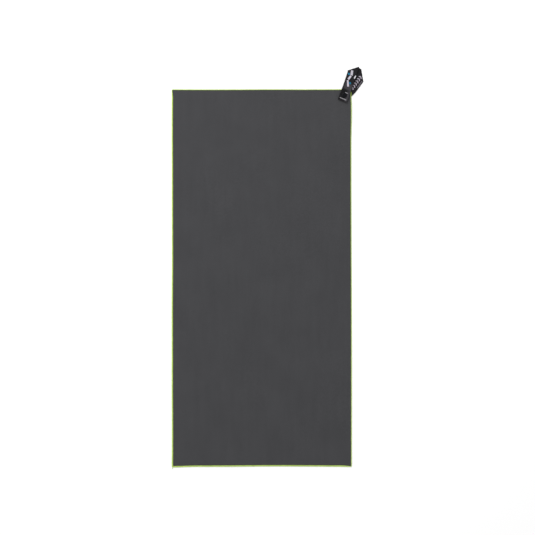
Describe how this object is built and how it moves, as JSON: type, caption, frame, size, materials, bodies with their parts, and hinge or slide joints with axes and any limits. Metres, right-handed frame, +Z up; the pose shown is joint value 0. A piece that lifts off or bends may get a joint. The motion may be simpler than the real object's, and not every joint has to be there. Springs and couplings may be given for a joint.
{
  "type": "quick dry towel",
  "caption": "Flat rectangular microfibre travel towel with a contrasting overlocked edge and a ribbon hanging loop that snaps to its corner.",
  "frame": {"origin": "middle of the towel's underside, on the surface that it lies on", "axes": "+X across the towel, +Y along it towards the end with the strap, +Z up through the cloth"},
  "size_m": [0.4474, 0.936, 0.0086],
  "materials": {
    "cloth": "matt microfibre",
    "edging": "overlocked thread",
    "strap": "woven ribbon with a printed pattern",
    "stitching": "bar-tacked thread",
    "snap": "gloss"
  },
  "bodies": {
    "towel": {"towel_panel": "cloth", "edging_top": "edging", "edging_bottom": "edging", "edging_left": "edging", "edging_right": "edging", "edging_thread_tail": "edging", "strap_sewn_end": "strap", "base_stitching": "stitching", "snap_rear_cap": "snap", "snap_stud": "snap"},
    "strap_rear": {"strap_rear_flex": "strap", "strap_rear_run": "strap", "strap_side_fold": "strap", "strap_middle_run": "strap"},
    "strap_front": {"strap_top_fold": "strap", "strap_front_run": "strap"},
    "strap_tail": {"strap_front_flex": "strap", "strap_tail": "strap", "tail_stitching": "stitching", "snap_socket": "snap", "snap_front_cap": "snap"}
  },
  "joints": [
    {"name": "loop_swing", "type": "hinge", "parent": "towel", "child": "strap_rear", "pos_m": [0.2065, 0.4423, 0.0034], "axis": [0.8949, -0.4462, 0], "range_deg": [0, 135], "deforming": ["strap_rear_flex"]},
    {"name": "loop_open", "type": "hinge", "parent": "strap_rear", "child": "strap_front", "pos_m": [0.2139, 0.4862, 0.00215], "axis": [-0.95, -0.3123, 0], "range_deg": [0, 155], "deforming": ["strap_top_fold"]},
    {"name": "tail_flex", "type": "hinge", "parent": "strap_front", "child": "strap_tail", "pos_m": [0.2065, 0.4423, 0.0034], "axis": [0.8949, -0.4462, 0], "range_deg": [-135, 0], "deforming": ["strap_front_flex"]}
  ],
  "couplings": [
    {"joint": "tail_flex", "follows": "loop_swing", "ratio": -1}
  ]
}
